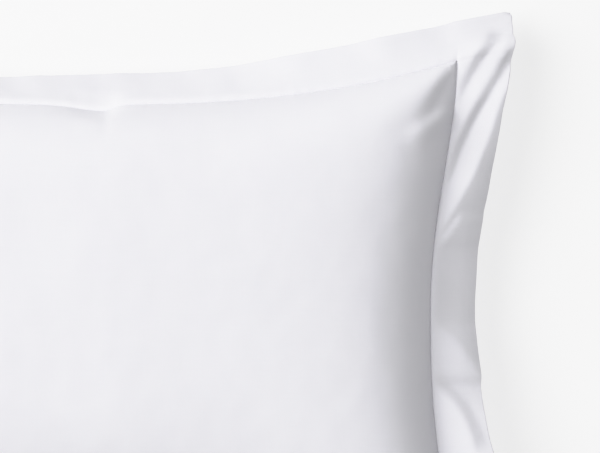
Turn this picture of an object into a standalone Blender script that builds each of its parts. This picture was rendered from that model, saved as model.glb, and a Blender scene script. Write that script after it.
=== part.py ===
"""A flanged pillowcase, plump with its filling, lying on its back.

Units are metres, +Z is up, +X runs along the long side, and the origin is on the surface under the middle.
S and T are distances on the flat cut, measured from its middle along X and Y. Every cloth is a grid of the
cut whose points are moved to where they lie in the filled case.
"""

import math

import bmesh
import bpy
from mathutils import Vector

# The flat cut
POCKET_LENGTH = 0.75
POCKET_WIDTH = 0.50
FLANGE = 0.05
CLOTH = 0.001
GAP = 0.0003
HEM_AT = 0.235  # the hem of the back panel, from the middle
TUCK_AT = 0.105  # the hidden end of the tuck flap, from the middle

# The filled case
CORNER_X = 0.358  # the seam's corner, drawn in a little from its flat place
CORNER_Y = 0.240
SEAM_HEIGHT = 0.078
CORNER_DROOP = 0.008
FRONT_CROWN = 0.066  # how far the front stands above the seam, and the back below it
BACK_CROWN = 0.100
HIP = 3.4  # a higher power makes a sharper ridge from the crown to each corner
FLATTEN = 0.015  # how softly the back rounds off where it meets the surface
SIDE_CROWDING = 5  # a higher power keeps the middle of the cloth evenly spread
LONG_CROWDING = 0.9
SHORT_CROWDING = 0.8
GIVE = 0.14  # how much the flange of the short sides stretches towards its tips
GIVE_FROM, GIVE_OVER = 0.19, 0.07
SHORT_FLARE = 0.135  # how the edges run outwards on the way to the tips
LONG_FLARE = 0.20
TURN_BACK = 0.043  # beyond this distance from the seam the short edges come in again

# Grid cells, closer together near the seam than in the middle
FLANGE_CELLS = 3
HALF_CELLS_LONG = 16
HALF_CELLS_SHORT = 10
EVEN_SHARE = 0.5

# Each side of the pocket bows in by draw at its middle. The bow is (1 - p ** flat) ** soft, with p running
# from 0 at the side's middle to 1 at its corners. From its seam the pocket rises in two parts: a steep one
# that dies out over near, with the given share of the height, and a slow one that dies out over wide.
SIDES = {
    "right": {"draw": 0.0262, "flat": 2.0, "soft": 2.0, "near": 0.033, "share": 0.95, "wide": 0.15},
    "left": {"draw": 0.0245, "flat": 2.2, "soft": 1.8, "near": 0.034, "share": 0.91, "wide": 0.15},
    "top": {"draw": 0.0430, "flat": 2.6, "soft": 1.0, "near": 0.032, "share": 0.84, "wide": 0.12},
    "bottom": {"draw": 0.0425, "flat": 2.5, "soft": 1.1, "near": 0.044, "share": 0.88, "wide": 0.15},
}
LOWER_RIGHT = (2.6, 1.3)  # flat and soft of the right side's lower half

# How steeply the flange hangs: (place along the side, degrees)
HANG = {
    "right": [(-0.30, 6), (-0.15, 10), (-0.07, 14), (0.00, 30), (0.09, 28), (0.17, 8), (0.30, 2)],
    "left": [(-0.30, 9), (-0.16, 16), (0.05, 30), (0.17, 18), (0.30, 8)],
    "top": [(-0.42, 30), (-0.33, 35), (-0.2, 50), (-0.08, 60), (0.1, 53), (0.2, 39), (0.3, 33), (0.4, 36)],
    "bottom": [(-0.42, 34), (-0.30, 33), (-0.12, 50), (0.20, 52), (0.30, 34), (0.42, 35)],
}

# Soft folds: a ridge (or a trough, where height is below 0) along a line on the flat cut
FOLDS = [
    {"cloth": "flange", "start": (0.414, 0.268), "end": (0.382, 0.205), "width": 0.013, "height": -0.004},
    {"cloth": "flange", "start": (0.425, 0.238), "end": (0.377, 0.13), "width": 0.013, "height": -0.005},
    {"cloth": "flange", "start": (0.425, 0.2), "end": (0.378, 0.085), "width": 0.018, "height": 0.0045},
    {"cloth": "flange", "start": (0.38, -0.03), "end": (0.425, -0.085), "width": 0.016, "height": 0.0035},
    {"cloth": "flange", "start": (0.38, -0.085), "end": (0.425, -0.14), "width": 0.016, "height": -0.0045},
    {"cloth": "flange", "start": (0.385, -0.2), "end": (0.412, -0.265), "width": 0.016, "height": -0.004},
    {"cloth": "flange", "start": (-0.38, 0.06), "end": (-0.425, 0.12), "width": 0.018, "height": 0.004},
    {"cloth": "flange", "start": (-0.38, -0.07), "end": (-0.425, -0.135), "width": 0.018, "height": -0.004},
    {"cloth": "flange", "start": (0.18, 0.255), "end": (0.205, 0.3), "width": 0.022, "height": 0.0035},
    {"cloth": "flange", "start": (-0.09, 0.255), "end": (-0.11, 0.3), "width": 0.022, "height": -0.0035},
    {"cloth": "flange", "start": (0.12, -0.255), "end": (0.145, -0.3), "width": 0.022, "height": -0.004},
    {"cloth": "flange", "start": (-0.15, -0.255), "end": (-0.175, -0.3), "width": 0.022, "height": 0.004},
    {"cloth": "front", "start": (0.362, 0.240), "end": (0.315, 0.165), "width": 0.016, "height": -0.005},
    {"cloth": "front", "start": (0.362, 0.200), "end": (0.305, 0.150), "width": 0.016, "height": 0.004},
    {"cloth": "front", "start": (0.362, -0.240), "end": (0.31, -0.180), "width": 0.016, "height": -0.004},
    {"cloth": "front", "start": (-0.362, 0.240), "end": (-0.315, 0.170), "width": 0.016, "height": -0.004},
    {"cloth": "front", "start": (-0.362, -0.240), "end": (-0.305, -0.185), "width": 0.016, "height": -0.005},
]

COTTON = {"colour": (0.86, 0.86, 0.88, 1.0), "roughness": 0.85}

HALF_LENGTH = POCKET_LENGTH / 2
HALF_WIDTH = POCKET_WIDTH / 2
LAYER = CLOTH + GAP


def clear_scene():
    for old in list(bpy.data.objects):
        bpy.data.objects.remove(old)


def cotton(name):
    material = bpy.data.materials.new(name + "_cotton")
    material.use_nodes = True
    shader = material.node_tree.nodes["Principled BSDF"]
    shader.inputs["Base Color"].default_value = COTTON["colour"]
    shader.inputs["Roughness"].default_value = COTTON["roughness"]
    shader.inputs["Metallic"].default_value = 0.0
    return material


def clamp(value):
    return max(-1.0, min(1.0, value))


def grid_lines(half, cells):
    """Distances of the grid's lines from the middle: even in the flange, closer and closer up to the seam."""
    lines = []
    for i in range(-cells, cells + 1):
        p = i / cells
        lines.append(half * (EVEN_SHARE * p + (1 - EVEN_SHARE) * math.sin(p * math.pi / 2)))
    for i in range(1, FLANGE_CELLS + 1):
        out = half + FLANGE * i / FLANGE_CELLS
        lines = [-out] + lines + [out]
    return lines


def eased(x):
    x = max(0.0, min(1.0, x))
    return x * x * (3 - 2 * x)


def bow(name, p):
    """How far along its bow a side is: 1 at its middle, 0 at its corners."""
    flat = SIDES[name]["flat"]
    soft = SIDES[name]["soft"]
    if name == "right" and p < 0:
        flat, soft = LOWER_RIGHT
    return max(0.0, 1 - abs(p) ** flat) ** soft


def hang(name, along):
    """How steeply a side's flange hangs at a place along it, in radians."""
    rows = HANG[name]
    degrees = rows[0][1]
    for (here, before), (there, after) in zip(rows, rows[1:]):
        degrees += (after - before) * eased((along - here) / (there - here))
    return math.radians(degrees)


def rise(name, away):
    """How much of its full height the pocket has reached at a distance from one of its sides."""
    side = SIDES[name]
    steep = side["share"] * math.exp(-away / side["near"])
    slow = (1 - side["share"]) * math.exp(-away / side["wide"])
    return max(1e-4, 1 - steep - slow)


def crowded(p, share):
    """Moves a place across the pocket outwards, because the crown's steep edge uses up cloth."""
    return (1 + share) * p - share * p * abs(p) ** (SIDE_CROWDING - 1)


def fold_height(cloth, s, t):
    """The height of all the soft folds of one cloth at a point of the flat cut."""
    height = 0.0
    for fold in FOLDS:
        if fold["cloth"] != cloth:
            continue
        start = Vector(fold["start"])
        along = Vector(fold["end"]) - start
        offset = Vector((s, t)) - start
        share = offset.dot(along) / along.length_squared
        across = abs(offset.cross(along)) / along.length / fold["width"]
        fade = max(0.0, 1 - (2 * share - 1) ** 4)
        height += fold["height"] * fade * math.exp(-across * across)
    return height


def soft_floor(z):
    """Flattens what would go below the surface, with a soft bend and an exactly flat middle."""
    bend = max(FLATTEN - abs(z), 0.0) / FLATTEN
    return max(z, 0.0) + bend * bend * FLATTEN / 4


def crown_at(x, y, u, v):
    """The share of the full height at a place in the pocket: 0 at its seam, nearly 1 in its middle."""
    right = CORNER_X - SIDES["right"]["draw"] * bow("right", v) - x
    left = CORNER_X - SIDES["left"]["draw"] * bow("left", v) + x
    top = CORNER_Y - SIDES["top"]["draw"] * bow("top", u) - y
    bottom = CORNER_Y - SIDES["bottom"]["draw"] * bow("bottom", u) + y
    across = rise("right", right) * rise("left", left)
    along = rise("top", top) * rise("bottom", bottom)
    crown = (across ** -HIP + along ** -HIP - 1) ** (-1 / HIP)
    return crown if crown > 2e-4 else 0.0


def lie(s, t, cloth):
    """Where a point of the flat cut lies in the filled case, as the front or the back cloth."""
    u = clamp(s / HALF_LENGTH)
    v = clamp(t / HALF_WIDTH)
    end = "right" if s > 0 else "left"
    edge = "top" if t > 0 else "bottom"
    draw_x = SIDES[end]["draw"] * bow(end, v)
    draw_y = SIDES[edge]["draw"] * bow(edge, u)
    across_x = crowded(u, LONG_CROWDING * draw_x / CORNER_X)
    across_y = crowded(v, SHORT_CROWDING * draw_y / CORNER_Y)

    flange_s = max(0.0, abs(s) - HALF_LENGTH)
    flange_t = max(0.0, abs(t) - HALF_WIDTH)
    tilt_x = hang(end, t)
    tilt_y = hang(edge, s)
    give = 1 + GIVE * eased((abs(t) - GIVE_FROM) / GIVE_OVER)
    flare_x = SHORT_FLARE * flange_t * (1 - (flange_t / TURN_BACK) ** 2) * abs(u) ** 3
    flare_y = LONG_FLARE * flange_s * abs(v) ** 3
    out_x = flange_s * math.cos(tilt_x) * give + flare_x
    out_y = flange_t * math.cos(tilt_y) + flare_y
    x = (CORNER_X - draw_x) * across_x + math.copysign(out_x, s)
    y = (CORNER_Y - draw_y) * across_y + math.copysign(out_y, t)
    z = SEAM_HEIGHT - CORNER_DROOP * (u * v) ** 4
    if flange_s > 0 or flange_t > 0:
        drop = flange_s * math.sin(tilt_x) + flange_t * math.sin(tilt_y)
        return Vector((x, y, z - drop + fold_height("flange", s, t)))

    crown = crown_at(x, y, u, v)
    if cloth == "back":
        return Vector((x, y, soft_floor(z - BACK_CROWN * crown)))
    off_seam = min(1.0, 3 * crown)  # the folds die out at the seam
    return Vector((x, y, z + FRONT_CROWN * crown + off_seam * fold_height("front", s, t)))


COLUMNS = grid_lines(HALF_LENGTH, HALF_CELLS_LONG)
ROWS = grid_lines(HALF_WIDTH, HALF_CELLS_SHORT)
HEM_COLUMN = min(range(len(COLUMNS)), key=lambda i: abs(COLUMNS[i] - HEM_AT))
TUCK_COLUMN = min(range(len(COLUMNS)), key=lambda i: abs(COLUMNS[i] - TUCK_AT))
LAST_COLUMN = len(COLUMNS) - 1


def new_grid(first, last):
    """A grid of the cut from one column to another, and each of its vertices' column and row.

    Its cells are split along the line that points to the nearest corner of the case, where the creases run.
    """
    cells_x = last - first
    cells_y = len(ROWS) - 1
    grid = bmesh.new()
    bmesh.ops.create_grid(grid, x_segments=cells_x, y_segments=cells_y, size=1)
    places = {}
    for vertex in grid.verts:
        column = first + round((vertex.co.x + 1) / 2 * cells_x)
        row = round((vertex.co.y + 1) / 2 * cells_y)
        places[vertex] = (column, row)
    rising = []
    falling = []
    for face in grid.faces:
        s = sum(COLUMNS[places[vertex][0]] for vertex in face.verts)
        t = sum(ROWS[places[vertex][1]] for vertex in face.verts)
        (rising if s * t > 0 else falling).append(face)
    bmesh.ops.triangulate(grid, faces=rising, quad_method="FIXED")
    bmesh.ops.triangulate(grid, faces=falling, quad_method="ALTERNATE")
    return grid, places


def back_surface():
    """The outside of the back, and the direction into the case at each of its points."""
    grid, places = new_grid(0, LAST_COLUMN)
    for vertex, (column, row) in places.items():
        vertex.co = lie(COLUMNS[column], ROWS[row], "back")
    grid.normal_update()
    points = {place: vertex.co.copy() for vertex, place in places.items()}
    inwards = {place: vertex.normal.copy() for vertex, place in places.items()}
    grid.free()
    return points, inwards


BACK_POINTS, INWARDS = back_surface()


def under_front(column):
    """How far the underside of the front panel's solid lies inside the back's outer surface."""
    return 2 * LAYER if column >= TUCK_COLUMN else LAYER


def inside(place, distance):
    return BACK_POINTS[place] + INWARDS[place] * distance


def front_point(place):
    """The front panel's face: it follows the back in the flange, and stands on the crown in the pocket."""
    column, row = place
    s, t = COLUMNS[column], ROWS[row]
    stack = under_front(column) + CLOTH
    if abs(s) < HALF_LENGTH - GAP and abs(t) < HALF_WIDTH - GAP:
        return lie(s, t, "front") + Vector((0, 0, stack))
    return inside(place, stack)


def add_object(name, mesh_source, collection):
    mesh = bpy.data.meshes.new(name)
    mesh_source.to_mesh(mesh)
    mesh_source.free()
    mesh.materials.append(cotton(name))
    mesh.shade_smooth()
    made = bpy.data.objects.new(name, mesh)
    collection.objects.link(made)
    return made


def add_sheet(name, first, last, depth, collection):
    """One thickness of cloth whose outer face lies depth inside the back's outer surface."""
    grid, places = new_grid(first, last)
    for vertex, place in places.items():
        vertex.co = inside(place, depth)
    bmesh.ops.reverse_faces(grid, faces=grid.faces[:])
    sheet = add_object(name, grid, collection)
    thickness = sheet.modifiers.new("cloth", "SOLIDIFY")
    thickness.thickness = CLOTH
    thickness.offset = -1
    return sheet


def add_front_panel(collection):
    """The front panel, filled: its face and underside, bridged round the flange's edge into one solid."""
    face, face_places = new_grid(0, LAST_COLUMN)
    for vertex, place in face_places.items():
        vertex.co = front_point(place)
    underside, under_places = new_grid(0, LAST_COLUMN)
    for vertex, place in under_places.items():
        vertex.co = inside(place, under_front(place[0]))
    bmesh.ops.reverse_faces(underside, faces=underside.faces[:])
    joined = bpy.data.meshes.new("underside")
    underside.to_mesh(joined)
    underside.free()
    face.from_mesh(joined)
    bpy.data.meshes.remove(joined)
    rim = [edge for edge in face.edges if edge.is_boundary]
    walls = bmesh.ops.bridge_loops(face, edges=rim)
    bmesh.ops.triangulate(face, faces=walls["faces"])
    bmesh.ops.recalc_face_normals(face, faces=face.faces[:])
    return add_object("front_panel", face, collection)


def main():
    clear_scene()
    case = bpy.data.collections.new("pillowcase")
    bpy.context.scene.collection.children.link(case)
    add_front_panel(case)
    add_sheet("tuck_flap", TUCK_COLUMN, LAST_COLUMN, LAYER, case)
    add_sheet("back_panel", 0, HEM_COLUMN, 0.0, case)


main()
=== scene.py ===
import math

import bpy
import numpy as np
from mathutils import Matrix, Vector, noise


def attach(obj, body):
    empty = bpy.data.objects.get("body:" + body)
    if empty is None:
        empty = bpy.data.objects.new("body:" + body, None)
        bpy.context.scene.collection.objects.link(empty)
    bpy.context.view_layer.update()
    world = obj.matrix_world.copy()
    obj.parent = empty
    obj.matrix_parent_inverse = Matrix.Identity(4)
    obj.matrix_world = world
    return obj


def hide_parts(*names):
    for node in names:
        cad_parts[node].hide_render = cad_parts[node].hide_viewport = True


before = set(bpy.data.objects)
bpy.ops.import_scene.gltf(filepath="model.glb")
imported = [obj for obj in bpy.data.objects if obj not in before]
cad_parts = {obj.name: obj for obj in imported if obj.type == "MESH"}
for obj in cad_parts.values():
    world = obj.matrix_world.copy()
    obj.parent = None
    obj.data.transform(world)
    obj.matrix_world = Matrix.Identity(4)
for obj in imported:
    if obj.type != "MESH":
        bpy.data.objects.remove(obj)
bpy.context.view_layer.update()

print("frame loaded:", sorted(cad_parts))

# Everything is in metres. s and t are distances on the flat cut, from its middle along x and along y.
cut = {
    "pocketLong": 0.75,
    "pocketShort": 0.50,
    "flange": 0.05,
    "hemAt": 0.235,      # edge of the back panel's hem
    "hemDeep": 0.025,
    "tuckAt": 0.105,     # hidden end of the tuck flap
}
halfLong = cut["pocketLong"] / 2
halfShort = cut["pocketShort"] / 2
flange = cut["flange"]

# where the seam of the filled case lies; its sides are drawn in between the corners
seam = {
    "cornerX": 0.358,
    "cornerY": 0.240,
    "height": 0.078,         # above what the case lies on
    "cornerDroop": 0.008,
    "right": {"draw": 0.0262, "flat": 2.0, "soft": 2.0, "lower": (2.6, 1.3)},
    "left": {"draw": 0.0245, "flat": 2.2, "soft": 1.8},
    "top": {"draw": 0.0430, "flat": 2.6, "soft": 1.0},
    "bottom": {"draw": 0.0425, "flat": 2.5, "soft": 1.1},
    "spread": (0.9, 0.8),        # how evenly the cloth is shared out where a side bows in
    "flare": (0.12, 0.19),       # how the edges run out towards the tips
    "flarePower": 3,
    "turnBack": {"from": 0.008, "over": 0.030, "by": 0.0068},    # how the short edge comes in again
    "tipPull": 0.0022,       # how far the tips are pulled in, which rounds them
    "tipReach": 0.009,
    # the flange of the short ends gives this much on the bias, beyond a place above and below the middle
    "bias": {"by": 0.155, "above": 0.19, "aboveOver": 0.07, "below": 0.075, "belowOver": 0.12},
    # small pull in the top seam, which fades out in the flange and dies away in the pocket
    "nick": {"at": 0.019, "leftWidth": 0.036, "rightWidth": 0.014, "deep": 0.0062, "fade": 0.024,
             "dies": 0.035},
}

# how steeply the flange hangs, in degrees, at places along each side; it stands up where that is negative
hang = {
    "top": [(-0.425, 30), (-0.33, 34), (-0.22, 50), (-0.086, 60), (0.02, 55), (0.12, 52), (0.2, 38),
            (0.3, 34), (0.38, 41), (0.425, 38)],
    "bottom": [(-0.425, 34), (-0.36, 36), (-0.27, 30), (-0.12, 50), (0.05, 47), (0.2, 52), (0.31, 32),
               (0.375, 38), (0.425, 34)],
    "right": [(-0.3, -11), (-0.110, -11), (-0.05, -5), (0.0, -6), (0.260, -6), (0.281, 10), (0.3, 15)],
    "left": [(-0.3, 8), (-0.16, 14), (0.05, 30), (0.17, 16), (0.3, 6)],
}

# Folds of the flange: strips steeper by tilt degrees, or all the cloth to the right of a line. A negative
# tilt makes them flatter. A place is given as its distance beyond the seam and its place along the side.
folds = {
    "right": [
        {"start": (0.0350, 0.274), "end": (0.0020, 0.214), "bend": 0.0020, "width": 0.0044, "tilt": 33,
         "wider": 0.7},
        {"start": (0.0500, 0.270), "end": (0.0370, 0.236), "bend": 0.0, "width": 0.0040, "tilt": 15},
        {"start": (0.0520, 0.254), "end": (0.0020, 0.128), "bend": 0.0070, "width": 0.0058, "tilt": 37},
        {"start": (0.0010, 0.070), "end": (0.0475, 0.2120), "bend": 0.0065, "width": 0.0013, "tilt": 32,
         "beyond": True},
        {"start": (0.0230, 0.0935), "end": (0.0035, 0.0655), "bend": 0.0, "width": 0.0032, "tilt": -25},
        {"start": (0.0510, 0.1550), "end": (0.0510, -0.0950), "bend": 0.0, "width": 0.0180, "tilt": 10},
        {"start": (0.0010, -0.010), "end": (0.048, -0.064), "bend": -0.004, "width": 0.0011, "tilt": -17,
         "beyond": True},
        {"start": (0.0390, -0.138), "end": (0.0030, -0.069), "bend": 0.0108, "width": 0.0046, "tilt": 19,
         "wider": 0.8},
        {"start": (0.0005, -0.073), "end": (0.0350, -0.141), "bend": -0.0090, "width": 0.0014, "tilt": -12,
         "beyond": True},
        {"start": (0.004, -0.168), "end": (0.053, -0.262), "bend": -0.004, "width": 0.0045, "tilt": 32},
        {"start": (0.008, -0.222), "end": (0.040, -0.283), "bend": 0.0, "width": 0.004, "tilt": 30},
    ],
    "left": [
        {"start": (0.004, 0.090), "end": (0.050, 0.190), "bend": 0.004, "width": 0.005, "tilt": 30},
        {"start": (0.006, 0.215), "end": (0.042, 0.280), "bend": 0.0, "width": 0.004, "tilt": 30},
        {"start": (0.004, -0.085), "end": (0.052, -0.165), "bend": 0.003, "width": 0.005, "tilt": 34},
        {"start": (0.005, -0.190), "end": (0.050, -0.272), "bend": 0.002, "width": 0.0042, "tilt": 32},
    ],
    "top": [
        {"start": (0.004, 0.150), "end": (0.050, 0.215), "bend": 0.0, "width": 0.014, "tilt": 4},
        {"start": (0.004, -0.150), "end": (0.050, -0.225), "bend": 0.0, "width": 0.010, "tilt": 12},
        {"start": (0.004, -0.290), "end": (0.045, -0.350), "bend": 0.0, "width": 0.006, "tilt": 20},
    ],
    "bottom": [
        {"start": (0.004, 0.120), "end": (0.050, 0.185), "bend": 0.0, "width": 0.010, "tilt": 14},
        {"start": (0.004, 0.270), "end": (0.050, 0.340), "bend": 0.0, "width": 0.006, "tilt": 22},
        {"start": (0.004, -0.080), "end": (0.050, -0.150), "bend": 0.0, "width": 0.010, "tilt": 12},
        {"start": (0.004, -0.240), "end": (0.050, -0.330), "bend": 0.0, "width": 0.007, "tilt": 20},
    ],
}
foldSides = 4        # higher gives a strip harder sides
foldEnds = 5         # higher makes a strip stop more suddenly at its ends

# just beyond the stitches the cloth stands up a little, and rolls over
rim = {
    "rise": {"right": 26, "left": 15, "top": 7, "bottom": 12},       # in degrees
    "wide": 0.0025,
    "roll": 0.0050,          # how far from the stitches the cloth has its full slope
    "cornerRoll": 0.0065,    # the same beyond the corners of the pocket
    "fade": 0.025,           # how far beyond a corner of the pocket the rise is gone
}
hangSteps = 28       # steps from the seam out to the edge

# slow unevenness of the hanging cloth, in degrees
waver = [
    {"tilt": 1.0, "along": 71, "out": 60, "from": 0.4},
    {"tilt": 0.9, "along": 37, "out": -110, "from": 2.1},
    {"tilt": 0.6, "along": 143, "out": 90, "from": 4.0},
]


def smooth(x):
    # from 0 to 1 with soft ends
    x = np.clip(x, 0, 1)
    return x * x * (3 - 2 * x)


def rounded(x):
    # from 0 to 1 along a quarter of a circle
    return np.sqrt(np.clip(1 - (1 - np.clip(x, 0, 1)) ** 2, 0, 1))


def eased(at, rows):
    # a value read between rows of place and value, without corners
    places = np.array([row[0] for row in rows])
    values = np.array([row[1] for row in rows], float)
    i = np.clip(np.searchsorted(places, at) - 1, 0, len(rows) - 2)
    share = smooth((at - places[i]) / (places[i + 1] - places[i]))
    return values[i] + (values[i + 1] - values[i]) * share


def bow(side, p):
    # how much of its draw a side has at p, from -1 to 1 along it
    p = np.asarray(p, float)
    whole = np.maximum(1 - np.abs(p) ** seam[side]["flat"], 0) ** seam[side]["soft"]
    if "lower" in seam[side]:
        flat, soft = seam[side]["lower"]
        whole = np.where(p < 0, np.maximum(1 - np.abs(p) ** flat, 0) ** soft, whole)
    return whole


def tiltOf(side, out, along, beyondCorner):
    # the slope of the flange, in radians
    tilt = eased(along, hang[side])
    for fold in folds[side]:
        outStep = fold["end"][0] - fold["start"][0]
        alongStep = fold["end"][1] - fold["start"][1]
        length = math.hypot(outStep, alongStep)
        offOut, offAlong = out - fold["start"][0], along - fold["start"][1]
        share = (offOut * outStep + offAlong * alongStep) / length ** 2
        held = np.clip(share, 0, 1)
        # how far to the right-hand side of the line, seen going from start to end
        off = (offOut * alongStep - offAlong * outStep) / length - fold["bend"] * 4 * held * (1 - held)
        if fold.get("beyond"):
            tilt = tilt + fold["tilt"] * (0.5 + 0.5 * np.tanh(off / fold["width"]))
        else:
            ends = smooth(share * foldEnds + 0.5) * smooth((1 - share) * foldEnds + 0.5)
            width = fold["width"] * (1 + fold.get("wider", 0) * (1 - held))
            tilt = tilt + fold["tilt"] * ends * np.exp(-(off / width) ** foldSides)
    for wave in waver:
        tilt = tilt + wave["tilt"] * np.sin(along * wave["along"] + out * wave["out"] + wave["from"])
    corner = smooth(beyondCorner / rim["fade"])
    roll = rim["roll"] + (rim["cornerRoll"] - rim["roll"]) * corner
    lift = rim["rise"][side] * np.exp(-(out / rim["wide"]) ** 2) * (1 - corner)
    return np.radians(tilt * (1 - np.exp(-(out / roll) ** 2)) - lift)


def hangOut(side, out, along, beyondCorner):
    # goes out from the seam in small steps, each as steep as the cloth there
    across, drop = np.zeros_like(out), np.zeros_like(out)
    for step in range(hangSteps):
        tilt = tiltOf(side, out * (step + 0.5) / hangSteps, along, beyondCorner)
        across += np.cos(tilt) * out / hangSteps
        drop += np.sin(tilt) * out / hangSteps
    return across, drop


def nickPull(s):
    # how far the pull draws the top seam in
    nick = seam["nick"]
    wide = np.where(s < nick["at"], nick["leftWidth"], nick["rightWidth"])
    return nick["deep"] * np.exp(-((s - nick["at"]) / wide) ** 2)


def lie(s, t):
    # the seam and the flange of the filled case
    u, v = np.clip(s / halfLong, -1, 1), np.clip(t / halfShort, -1, 1)
    outS, outT = np.maximum(np.abs(s) - halfLong, 0), np.maximum(np.abs(t) - halfShort, 0)
    drawX = np.where(s > 0, seam["right"]["draw"] * bow("right", v), seam["left"]["draw"] * bow("left", v))
    drawY = np.where(t > 0, seam["top"]["draw"] * bow("top", u), seam["bottom"]["draw"] * bow("bottom", u))
    drawY = drawY + np.where(t > 0, nickPull(s) * (1 - smooth(outT / seam["nick"]["fade"])), 0)
    spreadX = seam["spread"][0] * drawX / seam["cornerX"]
    spreadY = seam["spread"][1] * drawY / seam["cornerY"]
    x = (seam["cornerX"] - drawX) * ((1 + spreadX) * u - spreadX * u * np.abs(u) ** 4)
    y = (seam["cornerY"] - drawY) * ((1 + spreadY) * v - spreadY * v * np.abs(v) ** 4)
    z = seam["height"] - seam["cornerDroop"] * (u * v) ** 4
    turn = seam["turnBack"]
    flareX = seam["flare"][0] * outT - turn["by"] * smooth((outT - turn["from"]) / turn["over"])
    flareX = flareX * np.abs(u) ** seam["flarePower"]
    flareY = seam["flare"][1] * outS * np.abs(v) ** seam["flarePower"]
    # the turned tip is a little round
    tip = seam["tipPull"] * smooth((outS + outT - 2 * flange + seam["tipReach"]) / seam["tipReach"])
    bias = seam["bias"]
    above = smooth((t - bias["above"]) / bias["aboveOver"])
    below = smooth((-t - bias["below"]) / bias["belowOver"])
    give = 1 + bias["by"] * (above + below)
    for side, out, along, beyond, onX in (
        ("right", np.where(s > 0, outS, 0), t, outT, True),
        ("left", np.where(s < 0, outS, 0), t, outT, True),
        ("top", np.where(t > 0, outT, 0), s, outS, False),
        ("bottom", np.where(t < 0, outT, 0), s, outS, False),
    ):
        across, drop = hangOut(side, out, along, beyond)
        z = z - drop
        if onX:
            x = x + across * give * (1 if side == "right" else -1)
        else:
            y = y + across * (1 if side == "top" else -1)
    x = x + np.sign(s) * (flareX - tip)
    y = y + np.sign(t) * (flareY - tip)
    return np.stack([x, y, z], -1)


# The filled pocket. Each side rises from its seam in two parts: a short steep one and a long slow one.
filling = {
    "front": 0.066,      # how far the front rises above the seam
    "back": 0.100,       # how far the back would sink below it, if nothing held it up
    "right": {"near": 0.033, "share": 0.95, "wide": 0.15, "easier": 0.4, "from": 0.5, "over": 0.4},
    "left": {"near": 0.034, "share": 0.91, "wide": 0.15},
    "top": {"near": 0.027, "share": 0.85, "wide": 0.12},
    "bottom": {"near": 0.044, "share": 0.88, "wide": 0.15},
    "hip": 3.4,          # higher makes a sharper ridge towards each corner
    "least": 0.0001,     # keeps the powers finite at the seam
}

# Creases of the front, each along a line from start to end, with its width to the left and to the right.
# They narrow to a share of their width at the start, and fade in and out along the line.
creaseShape = {"narrow": 0.35, "fadeIn": 4, "fadeOut": 2.5, "underCrown": 4}
creases = [
    {"start": (0.360, 0.243), "end": (0.320, 0.170), "left": 0.013, "right": 0.0080, "height": -0.0038},
    {"start": (0.360, 0.1985), "end": (0.304, 0.158), "left": 0.014, "right": 0.0085, "height": 0.0050},
    {"start": (0.018, 0.200), "end": (0.021, 0.160), "left": 0.008, "right": 0.0060, "height": -0.0010},
    {"start": (0.359, -0.242), "end": (0.315, -0.182), "left": 0.011, "right": 0.0140, "height": -0.0040},
    {"start": (-0.360, 0.242), "end": (-0.319, 0.174), "left": 0.011, "right": 0.0140, "height": -0.0042},
    {"start": (-0.354, 0.195), "end": (-0.304, 0.150), "left": 0.011, "right": 0.0160, "height": 0.0030},
    {"start": (-0.359, -0.243), "end": (-0.310, -0.190), "left": 0.014, "right": 0.0100, "height": -0.0046},
]


def rise(side, away, p):
    # the filling's height, from 0 to 1, at a distance from one side's seam; p is -1 to 1 along that side
    part = filling[side]
    near = part["near"]
    if "easier" in part:
        # this side rises more gently towards its corners
        near = near * (1 + part["easier"] * smooth((np.abs(p) - part["from"]) / part["over"]))
    steep = part["share"] * np.exp(-away / near)
    slow = (1 - part["share"]) * np.exp(-away / part["wide"])
    return np.clip(1 - steep - slow, 0, 1)


def crease(x, y):
    # how much all the creases raise the front
    narrow = creaseShape["narrow"]
    height = np.zeros_like(x)
    for row in creases:
        alongX, alongY = row["end"][0] - row["start"][0], row["end"][1] - row["start"][1]
        length = math.hypot(alongX, alongY)
        offX, offY = x - row["start"][0], y - row["start"][1]
        share = (offX * alongX + offY * alongY) / length ** 2
        off = (offX * alongY - offY * alongX) / length
        width = np.where(off > 0, row["right"], row["left"]) * (narrow + (1 - narrow) * np.clip(share, 0, 1))
        ends = smooth(share * creaseShape["fadeIn"]) * smooth((1 - share) * creaseShape["fadeOut"])
        height += row["height"] * ends * np.exp(-(off / width) ** 2)
    return height


def puffed(s, t, points):
    # the front and the back of the pocket, above and below the seam's surface
    v, u = np.clip(t / halfShort, -1, 1), np.clip(s / halfLong, -1, 1)
    x, y, z = points[..., 0], points[..., 1], points[..., 2]
    right = seam["cornerX"] - seam["right"]["draw"] * bow("right", v) - x
    left = seam["cornerX"] - seam["left"]["draw"] * bow("left", v) + x
    top = seam["cornerY"] - seam["top"]["draw"] * bow("top", u) - y
    top = top - nickPull(s) * (1 - smooth((halfShort - t) / seam["nick"]["dies"]))
    bottom = seam["cornerY"] - seam["bottom"]["draw"] * bow("bottom", u) + y
    hip, least = filling["hip"], filling["least"]
    across = np.maximum(rise("right", right, v) * rise("left", left, v), least)
    along = np.maximum(rise("top", top, u) * rise("bottom", bottom, u), least)
    crown = (across ** -hip + along ** -hip - 1) ** (-1 / hip)
    crown = np.where(crown < 2 * least, 0, crown)
    front, back = points.copy(), points.copy()
    front[..., 2] = z + filling["front"] * crown + crease(x, y) * smooth(crown * creaseShape["underCrown"])
    back[..., 2] = z - filling["back"] * crown
    return front, back


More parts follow.
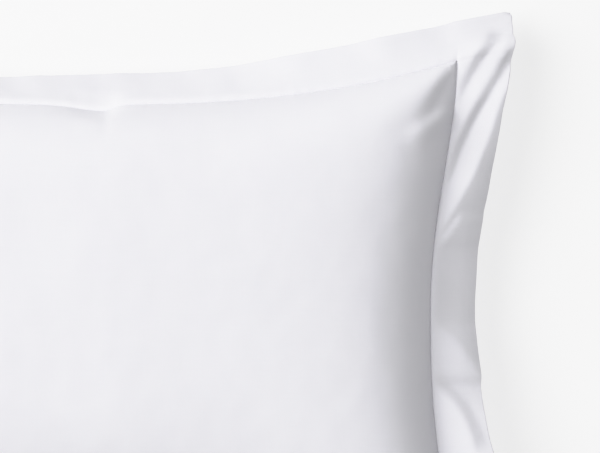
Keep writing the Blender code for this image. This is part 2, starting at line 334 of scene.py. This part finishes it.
# The cloth is drawn on one fine grid of the cut, closest at the seam and the edges
weave = {
    "open": 0.0048,       # spacing of grid lines in the pocket
    "flange": 0.0017,     # spacing in the flange
    "near": 0.0007,       # beside the stitches and the edges
    "band": 0.0035,       # how far the closest lines reach from the seam
    "edge": (0.0020, 0.0013, 0.0007, 0.0003, 0.0001, 0.0),   # the last lines, from the edge
    "split": (-0.0008, 0, 0.0008),       # lines at the step of the hem
    "layer": 0.0007,      # thickness of the cloth
    "gap": 0.0002,        # between two layers
}


def gridLines(half, extra):
    # the lines of the grid across the cut one way: open, close at the seam, middling, close at the edge
    inner = half - weave["band"]
    count = round(2 * inner / weave["open"])
    lines = list(np.linspace(-inner, inner, count + 1))
    outer = list(np.arange(inner + weave["near"], half + weave["band"] + weave["near"] / 2, weave["near"]))
    last, stop = outer[-1], half + flange - weave["edge"][0]
    count = round((stop - last) / weave["flange"])
    outer += list(np.linspace(last, stop, count + 1))[1:]
    outer += [half + flange - x for x in weave["edge"][1:]]
    lines = [-x for x in reversed(outer)] + lines + outer
    # room for the lines at a step
    clear = 1.5 * weave["split"][-1]
    for x in extra:
        lines = [line for line in lines if abs(line - x) > clear] + [x + dx for dx in weave["split"]]
    return np.array(sorted(lines))


sLines = gridLines(halfLong, [cut["hemAt"] - cut["hemDeep"]])
tLines = gridLines(halfShort, [])
s, t = np.meshgrid(sLines, tLines, indexing="ij")
outS, outT = np.abs(s) - halfLong, np.abs(t) - halfShort
inPocket = (outS < 1e-9) & (outT < 1e-9)
beyondSeam = np.hypot(np.maximum(outS, 0), np.maximum(outT, 0))      # how far out in the flange
insideSeam = np.minimum(-outS, -outT)                                 # how far in from the seam
fromSeam = np.where(inPocket, insideSeam, beyondSeam)
fromEdge = np.minimum(flange - outS, flange - outT)


def lineAt(lines, place):
    # the grid line nearest to a place
    return int(np.argmin(np.abs(lines - place)))


def normalsOf(points):
    # upwards, because s and t run like x and y
    n = np.cross(np.gradient(points, axis=0), np.gradient(points, axis=1))
    return n / np.maximum(np.linalg.norm(n, axis=-1, keepdims=True), 1e-12)


def uneven(size, seed):
    # soft bumps about size across, from -1 to 1
    flat = [noise.noise(Vector((x / size, y / size, seed))) for x, y in zip(s.ravel(), t.ravel())]
    return np.array(flat).reshape(s.shape)


# Unevenness of the cloth: broad dents over the filling, and small puckers that the stitches draw in
ripple = {
    "broad": {"high": 0.0011, "size": 0.085, "seed": 3.0},
    "small": {"high": 0.00035, "size": 0.024, "seed": 8.0},
    "settles": 0.03,         # how far from the seam the dents are in full
    "pucker": {"high": 0.00022, "long": 0.016, "reach": 0.009, "starts": 0.003},
    "wobble": {"by": 1.4, "size": 0.05, "seed": 5.0},
}
rest = {"bend": 0.015}       # how softly the back rounds off where it meets what it lies on

flangeMiddle = lie(s, t)
front, back = puffed(s, t, flangeMiddle)
frontMiddle = np.where(inPocket[..., None], front, flangeMiddle)
backMiddle = np.where(inPocket[..., None], back, flangeMiddle)
dents = sum(d["high"] * uneven(d["size"], d["seed"]) for d in (ripple["broad"], ripple["small"]))
frontMiddle[..., 2] += dents * smooth(insideSeam / ripple["settles"]) * inPocket
nearSide = np.where(outS > outT, t, s)
wobble = ripple["wobble"]["by"] * uneven(ripple["wobble"]["size"], ripple["wobble"]["seed"])
pucker = ripple["pucker"]
puckers = np.sin(nearSide * 2 * math.pi / pucker["long"] + 3 * wobble) * np.exp(-fromSeam / pucker["reach"])
puckers *= pucker["high"] * (1 + wobble) * smooth(fromSeam / pucker["starts"])
# the back is flat where it rests
bend = np.maximum(rest["bend"] - np.abs(backMiddle[..., 2]), 0) / rest["bend"]
backMiddle[..., 2] = np.maximum(backMiddle[..., 2], 0) + bend ** 2 * rest["bend"] / 4
up = normalsOf(frontMiddle)
into = normalsOf(backMiddle)
frontMiddle = frontMiddle + up * puckers[..., None]
backMiddle = backMiddle + up * (puckers * ~inPocket)[..., None]
print("grid of the cut:", s.shape)


def addMesh(name, points, cutPlaces, faces, material):
    data = bpy.data.meshes.new(name)
    data.from_pydata(points.tolist(), [], faces)
    places = data.attributes.new("cut", "FLOAT_VECTOR", "POINT")
    places.data.foreach_set("vector", np.column_stack([cutPlaces, np.zeros(len(cutPlaces))]).ravel())
    data.shade_smooth()
    data.materials.append(material)
    piece = bpy.data.objects.new(name, data)
    bpy.context.scene.collection.objects.link(piece)
    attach(piece, "root")
    return piece


def addCloth(name, upper, lower, places, material):
    # one closed piece between two grids of points, with its edge turned round
    rows, columns = upper.shape[:2]
    count = rows * columns
    i, j = np.meshgrid(np.arange(rows - 1), np.arange(columns - 1), indexing="ij")
    a = (i * columns + j).ravel()
    above = np.column_stack([a, a + columns, a + columns + 1, a + 1])
    below = above[:, ::-1] + count
    ring = [r * columns for r in range(rows)] + [(rows - 1) * columns + c for c in range(1, columns)]
    ring += [r * columns + columns - 1 for r in range(rows - 2, -1, -1)] + list(range(columns - 2, 0, -1))
    ring = np.array(ring)
    onward = np.roll(ring, -1)
    edge = np.column_stack([ring, ring + count, onward + count, onward])
    points = np.concatenate([upper.reshape(-1, 3), lower.reshape(-1, 3)])
    flat = np.concatenate([places.reshape(-1, 2)] * 2)
    return addMesh(name, points, flat, np.concatenate([above, below, edge]).tolist(), material)


# Materials
class Value:
    # a socket that can be used in sums
    def __init__(self, finish, socket):
        self.finish, self.socket = finish, socket

    def math(self, operation, other=0.0, swapped=False):
        pair = (other, self) if swapped else (self, other)
        return self.finish.node("ShaderNodeMath", {"operation": operation}, *pair)

    def __add__(self, other):
        return self.math("ADD", other)

    def __sub__(self, other):
        return self.math("SUBTRACT", other)

    def __rsub__(self, other):
        return self.math("SUBTRACT", other, True)

    def __mul__(self, other):
        return self.math("MULTIPLY", other)

    def __truediv__(self, other):
        return self.math("DIVIDE", other)

    def __rtruediv__(self, other):
        return self.math("DIVIDE", other, True)

    __radd__ = __add__
    __rmul__ = __mul__

    def output(self, name):
        return Value(self.finish, self.socket.node.outputs[name])


class Finish:
    # a material with one method that makes every node
    def __init__(self, name, **shading):
        self.material = bpy.data.materials.new(name)
        self.material.use_nodes = True
        self.tree = self.material.node_tree
        self.shader = self.tree.nodes["Principled BSDF"]
        for name, value in shading.items():
            self.shader.inputs[name.replace("_", " ")].default_value = value

    def put(self, socket, value):
        if isinstance(value, Value):
            self.tree.links.new(value.socket, socket)
        else:
            socket.default_value = value

    def node(self, kind, settings, *inputs, **named):
        made = self.tree.nodes.new(kind)
        for name, value in settings.items():
            setattr(made, name, value)
        for socket, value in zip(made.inputs, inputs):
            self.put(socket, value)
        for name, value in named.items():
            self.put(made.inputs[name.replace("_", " ")], value)
        return Value(self, made.outputs[0])

    def scaled(self, vector, by):
        return self.node("ShaderNodeVectorMath", {"operation": "MULTIPLY"}, vector, by)

    def noise(self, vector, scale, detail=2.0):
        return self.node("ShaderNodeTexNoise", {}, Vector=vector, Scale=scale, Detail=detail)

    def blend(self, amount, first, second):
        made = self.node("ShaderNodeMix", {"data_type": "RGBA"})
        mix = made.socket.node
        self.put(mix.inputs["Factor"], amount)
        self.put(mix.inputs[6], first)
        self.put(mix.inputs[7], second)
        return Value(self, mix.outputs[2])

    def relief(self, height, made):
        return self.node("ShaderNodeBump", {}, Strength=made["bump"], Distance=made["relief"], Height=height)

    def feed(self, name, value):
        self.put(self.shader.inputs[name], value)


percale = {
    "thread": 0.00032,       # from one thread to the next
    "light": (0.841, 0.835, 0.874, 1),
    "shade": (0.796, 0.791, 0.840, 1),
    "rough": 0.86,
    "slubRough": (-0.05, 0.08),      # what is added to the roughness, and how much the slubs add
    "sheen": 0.06,
    "sheenRough": 0.45,
    "specular": 0.25,
    "warpSlub": (1900, 34, 1),       # slubs in each metre, along s and along t
    "weftSlub": (26, 1500, 1),
    "clouds": 17.0,          # cloudy tone, in each metre
    "crumples": 62.0,
    "tone": {"slub": 0.9, "cloudy": 0.8, "middle": 0.42},
    "height": {"weave": 0.55, "slub": 1.1, "crumple": 2.4, "pull": 1.6},
    "bump": 0.75,
    "relief": 0.00010,       # height of the bump
    "dimple": 0.0021,        # how far from the seam the stitches pull
    "between": 0.6,          # how much they pull between two stitches
    "stitch": 0.0033,        # from one stitch to the next
}


def percaleFinish(name, turn):
    # a close plain weave of fine cotton, a little slubby, calendered smooth
    cloth = Finish(name, Roughness=percale["rough"], Sheen_Weight=percale["sheen"],
                   Sheen_Roughness=percale["sheenRough"], Specular_IOR_Level=percale["specular"])
    place = cloth.node("ShaderNodeAttribute", {"attribute_name": "cut"}).output("Vector")
    axes = cloth.node("ShaderNodeSeparateXYZ", {}, place)
    along, across = axes.output("X"), axes.output("Y")
    warp = (along * (math.pi / percale["thread"])).math("SINE")
    weft = (across * (math.pi / percale["thread"])).math("SINE")
    over = warp * weft * 0.5 + 0.5
    plain = warp.math("ABSOLUTE") * over + weft.math("ABSOLUTE") * (1 - over)
    shifted = cloth.node("ShaderNodeVectorMath", {"operation": "ADD"}, place, (turn, 2 * turn, turn))
    warpSlub = cloth.noise(cloth.scaled(shifted, percale["warpSlub"]), 1.0)
    weftSlub = cloth.noise(cloth.scaled(shifted, percale["weftSlub"]), 1.0)
    slub = warpSlub * 0.5 + weftSlub * 0.5
    cloudy = cloth.noise(shifted, percale["clouds"], 3.0)
    crumple = cloth.noise(shifted, percale["crumples"], 2.0)
    tone = percale["tone"]
    shade = (slub - 0.5) * tone["slub"] + (cloudy - 0.5) * tone["cloudy"] + tone["middle"]
    shade = shade.math("MAXIMUM", 0.0).math("MINIMUM", 1.0)
    cloth.feed("Base Color", cloth.blend(shade, percale["light"], percale["shade"]))
    added, bySlub = percale["slubRough"]
    cloth.feed("Roughness", percale["rough"] + added + slub * bySlub)
    # small dimples where the stitches pull, along the seam of the pocket
    farS = along.math("ABSOLUTE") - halfLong
    farT = across.math("ABSOLUTE") - halfShort
    off = farS.math("MAXIMUM", farT)
    pull = (off * off * (-1 / percale["dimple"] ** 2)).math("EXPONENT")
    onSide = farS.math("GREATER_THAN", farT)
    run = across * onSide + along * (1 - onSide)
    beat = (run * (2 * math.pi / percale["stitch"])).math("COSINE") * 0.5 + 0.5
    high = percale["height"]
    height = plain * high["weave"] + slub * high["slub"] + crumple * high["crumple"]
    height = height - pull * (percale["between"] + beat) * high["pull"]
    cloth.feed("Normal", cloth.relief(height, percale))
    return cloth.material


sewing = {
    "colour": (0.90, 0.898, 0.92, 1),
    "rough": 0.62,
    "fuzzRough": (0.56, 0.12),       # the least roughness, and how much the fuzz adds
    "sheen": 0.2,
    "specular": 0.35,
    "ply": 0.0007,           # from one turn of the thread to the next
    "fuzz": 900.0,
    "bump": 0.8,
    "relief": 0.00005,
}


def threadFinish(name):
    # two-ply cotton, its turns showing across each stitch
    thread = Finish(name, Base_Color=sewing["colour"], Roughness=sewing["rough"],
                    Sheen_Weight=sewing["sheen"], Specular_IOR_Level=sewing["specular"])
    place = thread.node("ShaderNodeAttribute", {"attribute_name": "cut"}).output("Vector")
    axes = thread.node("ShaderNodeSeparateXYZ", {}, place)
    turns = ((axes.output("X") / sewing["ply"] + axes.output("Y")) * (2 * math.pi)).math("SINE")
    fuzz = thread.noise(place, sewing["fuzz"])
    least, byFuzz = sewing["fuzzRough"]
    thread.feed("Roughness", least + fuzz * byFuzz)
    thread.feed("Normal", thread.relief(turns + fuzz, sewing))
    return thread.material


frontCotton = percaleFinish("frontPercale", 1.3)
backCotton = percaleFinish("backPercale", 4.1)
flapCotton = percaleFinish("flapPercale", 7.7)
cottonThread = threadFinish("sewingThread")
print("percale and thread made")

# How thick the cloth stands: pinched at the stitches, rounded at the edge, fuller over what is turned in
# inside the edge, and double over the hem
ditch = {"deep": 0.00028, "wide": 0.0013}
turned = {"from": 0.0015, "over": 0.002, "to": 0.011, "before": 0.0015, "thick": 0.00010}
hem = {"thick": 0.0004, "step": 0.0016, "round": 0.0008, "stitchIn": 0.0022}
tuck = {"ease": 0.004}       # over this length the back panel's flange steps out over the tuck flap
layer, gap = weave["layer"], weave["gap"]
pinch = ditch["deep"] * np.exp(-(fromSeam / ditch["wide"]) ** 2)
turnIn = smooth((fromEdge - turned["from"]) / turned["over"])
turnIn = turnIn * smooth((turned["to"] - fromEdge) / turned["before"])
flangeStand = gap / 2 + (layer + turned["thick"] * turnIn) * rounded(fromEdge / layer) - pinch * ~inPocket
frontStand = np.where(inPocket, gap / 2 + layer - pinch, flangeStand)
halfGap = np.full_like(s, gap / 2)


def offset(points, normals, distance):
    return points + normals * np.asarray(distance)[..., None]


cutPlaces = np.stack([s, t], -1)
frontFace = offset(frontMiddle, up, frontStand)
underFlange = offset(frontMiddle, up, halfGap)
underPocket = offset(backMiddle, into, halfGap * 6 + layer * 2)      # hidden, clear of both back pieces
frontUnder = np.where(inPocket[..., None], underPocket, underFlange)
frontPanel = addCloth("frontPanel", frontFace, frontUnder, cutPlaces, frontCotton)
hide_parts("front_panel")
print("front panel made:", len(frontPanel.data.polygons), "faces")

# back panel, from the left edge to its hem
hemStep = smooth((s - cut["hemAt"] + cut["hemDeep"]) / hem["step"] + 0.5)
hemRound = rounded((cut["hemAt"] - s) / hem["round"])
# in the flange it lies over the tuck flap
over = (layer + gap) * smooth((s - cut["tuckAt"]) / tuck["ease"] + 1)
backOut = np.where(inPocket, hem["thick"] * hemStep * hemRound, flangeStand + over)
backOuter = offset(backMiddle, into, -backOut)
backInner = offset(backMiddle, into, np.where(inPocket, layer, -halfGap - over))
some = slice(0, lineAt(sLines, cut["hemAt"]) + 1)
backPanel = addCloth("backPanel", backInner[some], backOuter[some], cutPlaces[some], backCotton)
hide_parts("back_panel")

# tuck flap, from its hidden end to the right edge
flapOuter = offset(backMiddle, into, np.where(inPocket, layer + gap, -flangeStand))
flapInner = offset(backMiddle, into, np.where(inPocket, layer * 2 + gap, -halfGap))
some = slice(lineAt(sLines, cut["tuckAt"]), None)
tuckFlap = addCloth("tuckFlap", flapInner[some], flapOuter[some], cutPlaces[some], flapCotton)
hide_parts("tuck_flap")
print("back panel and tuck flap made")

# Stitches: short runs of thread that dip into the cloth at both ends
stitch = {
    "thick": 0.00040,
    "ends": 0.5,         # how thick its two ends are, as a share
    "gap": 0.0006,       # from the end of one to the next
    "rise": 0.00022,
    "sunk": 0.00006,     # how deep the ends lie in the cloth
    "rings": (0.0, 0.22, 0.5, 0.78, 1.0),
    "round": 6,
}
seamSunk = 0.6       # where the back's stitches lie, as a share of the cloth's thickness


def addStitches(name, line, away):
    # stitches along a line of points, each lying on the side that away points to
    steps = np.linalg.norm(np.diff(line, axis=0), axis=1)
    run = np.concatenate([[0], np.cumsum(steps)])
    count = int(run[-1] / percale["stitch"])
    pitch = run[-1] / count
    first = np.arange(count) * pitch
    shares = np.array(stitch["rings"])
    at = first[:, None] + stitch["gap"] / 2 + shares * (pitch - stitch["gap"])
    arc = np.sin(shares * math.pi)
    centre = np.stack([np.interp(at, run, line[:, k]) for k in range(3)], -1)
    normal = np.stack([np.interp(at, run, away[:, k]) for k in range(3)], -1)
    normal /= np.linalg.norm(normal, axis=-1, keepdims=True)
    heading = np.gradient(centre, axis=1)
    heading /= np.linalg.norm(heading, axis=-1, keepdims=True)
    across = np.cross(heading, normal)
    centre = centre + normal * (stitch["rise"] * arc - stitch["sunk"])[None, :, None]
    radius = stitch["thick"] / 2 * (stitch["ends"] + (1 - stitch["ends"]) * arc)
    turn = np.arange(stitch["round"]) * 2 * math.pi / stitch["round"]
    circle = np.cos(turn)[:, None] * across[:, :, None] + np.sin(turn)[:, None] * normal[:, :, None]
    points = centre[:, :, None] + circle * radius[None, :, None, None]
    rings, sides = len(shares), stitch["round"]
    faces = []
    for k in range(count):
        start = k * rings * sides
        for r in range(rings - 1):
            for c in range(sides):
                a, b = start + r * sides + c, start + r * sides + (c + 1) % sides
                faces.append((a, a + sides, b + sides, b))
        faces.append(tuple(start + c for c in range(sides)))
        faces.append(tuple(start + (rings - 1) * sides + c for c in reversed(range(sides))))
    # in place of the cut: how far along the line, and how far round the thread
    runs = np.repeat(at[:, :, None], sides, 2)
    rounds = np.broadcast_to(turn / (2 * math.pi), at.shape + (sides,))
    places = np.stack([runs, rounds], -1)
    return addMesh(name, points.reshape(-1, 3), places.reshape(-1, 2), faces, cottonThread)


left, right = lineAt(sLines, -halfLong), lineAt(sLines, halfLong)
low, high = lineAt(tLines, -halfShort), lineAt(tLines, halfShort)


def roundSeam(grid):
    # the four sides of the seam as one closed line
    bottomSide, rightSide = grid[left:right, low], grid[right, low:high]
    topSide, leftSide = grid[right:left:-1, high], grid[left, high:low:-1]
    return np.concatenate([bottomSide, rightSide, topSide, leftSide, bottomSide[:1]])


frontStitches = addStitches("frontTopstitch", roundSeam(frontFace), roundSeam(up))
seamOut = offset(backMiddle, into, np.full_like(s, -layer * seamSunk))
fromBelow = -into
underStitches = addStitches("backTopstitch", roundSeam(seamOut), roundSeam(fromBelow))
row = lineAt(sLines, cut["hemAt"] - cut["hemDeep"] + hem["stitchIn"])
inside = slice(low + 2, high - 1)        # the hem's stitches stop short of the seam
hemStitches = addStitches("hemStitch", backOuter[row, inside], fromBelow[row, inside])
print("stitches made:", [len(o.data.polygons) for o in (frontStitches, underStitches, hemStitches)])

# Stage
stage = {
    "floorSize": 8,
    "floorAt": -0.0008,
    "floor": (0.3, 0.3, 0.3, 1),
    "floorGlow": 0.68,
    "sky": 0.37,
    "keySize": 5,
    "keyPower": 368,
    "keyFrom": (-0.61, 0.20, 0.77),
    "keyAway": 6,
    "keyOver": (0.1, 0, 0),
    "keyAim": (0.1, 0, 0.1),
}
# the camera looks straight down and sees a strip this wide, at the height faceAt
view = {"x": 0.2067, "y": 0.0803, "wide": 0.577, "above": 4.0, "faceAt": 0.08, "sensor": 36, "clip": 20}
# a soft shoulder, so that the side towards the light keeps its shading
shoulder = {"white": 1.3, "points": ((0.46, 0.598), (0.654, 0.848), (0.769, 0.93))}
white = (1, 1, 1, 1)

scene = bpy.context.scene
bpy.ops.mesh.primitive_plane_add(size=stage["floorSize"], location=(0, 0, stage["floorAt"]))
floor = bpy.context.object
floor.name = "floor"
pale = Finish("paleFloor", Base_Color=stage["floor"], Roughness=1, Emission_Color=white,
              Emission_Strength=stage["floorGlow"])
floor.data.materials.append(pale.material)

world = bpy.data.worlds.new("studio")
scene.world = world
world.use_nodes = True
sky = world.node_tree.nodes["Background"]
sky.inputs["Color"].default_value = white
sky.inputs["Strength"].default_value = stage["sky"]

lamp = bpy.data.lights.new("softKey", "AREA")
lamp.shape = "DISK"
lamp.size = stage["keySize"]
lamp.energy = stage["keyPower"]
key = bpy.data.objects.new("softKey", lamp)
scene.collection.objects.link(key)
key.location = Vector(stage["keyFrom"]).normalized() * stage["keyAway"] + Vector(stage["keyOver"])
key.rotation_euler = (Vector(stage["keyAim"]) - key.location).to_track_quat("-Z", "Y").to_euler()

lens = bpy.data.cameras.new("camera")
camera = bpy.data.objects.new("camera", lens)
scene.collection.objects.link(camera)
scene.camera = camera
camera.location = (view["x"], view["y"], view["faceAt"] + view["above"])
lens.sensor_width = view["sensor"]
lens.lens = view["sensor"] * view["above"] / view["wide"]
lens.clip_end = view["clip"]
scene.view_settings.view_transform = "Standard"
scene.view_settings.use_curve_mapping = True
toneCurve = scene.view_settings.curve_mapping
toneCurve.white_level = (shoulder["white"],) * 3
for at, level in shoulder["points"]:
    toneCurve.curves[3].points.new(at, level)
toneCurve.update()
print("stage set")
